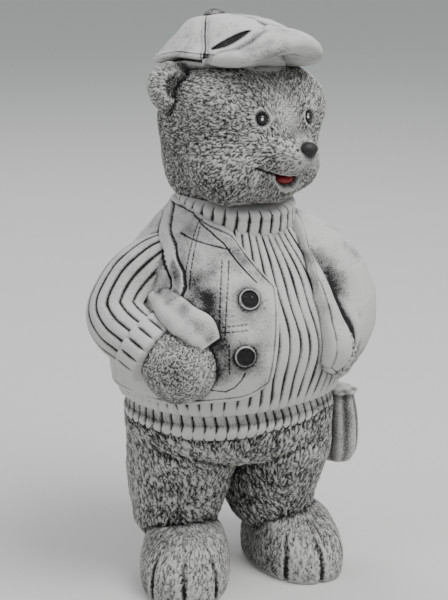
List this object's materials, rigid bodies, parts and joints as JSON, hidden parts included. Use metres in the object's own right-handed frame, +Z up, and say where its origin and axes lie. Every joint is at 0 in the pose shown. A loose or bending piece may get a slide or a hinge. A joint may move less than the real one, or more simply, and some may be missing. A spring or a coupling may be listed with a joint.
{
  "type": "bear garden statue",
  "caption": "Cast-stone garden statue of a standing bear in a flat cap, ribbed polo-neck jumper and open waistcoat.",
  "frame": {"origin": "middle of the figure's bounding box in plan, at the level of its soles", "axes": "+Z up along the standing figure, -Y the way the bear's chest faces, +X its left side"},
  "size_m": [0.2092, 0.1506, 0.3799],
  "materials": {
    "cast_stone": "matte"
  },
  "bodies": {
    "root": {"bear": "cast_stone"}
  },
  "joints": []
}
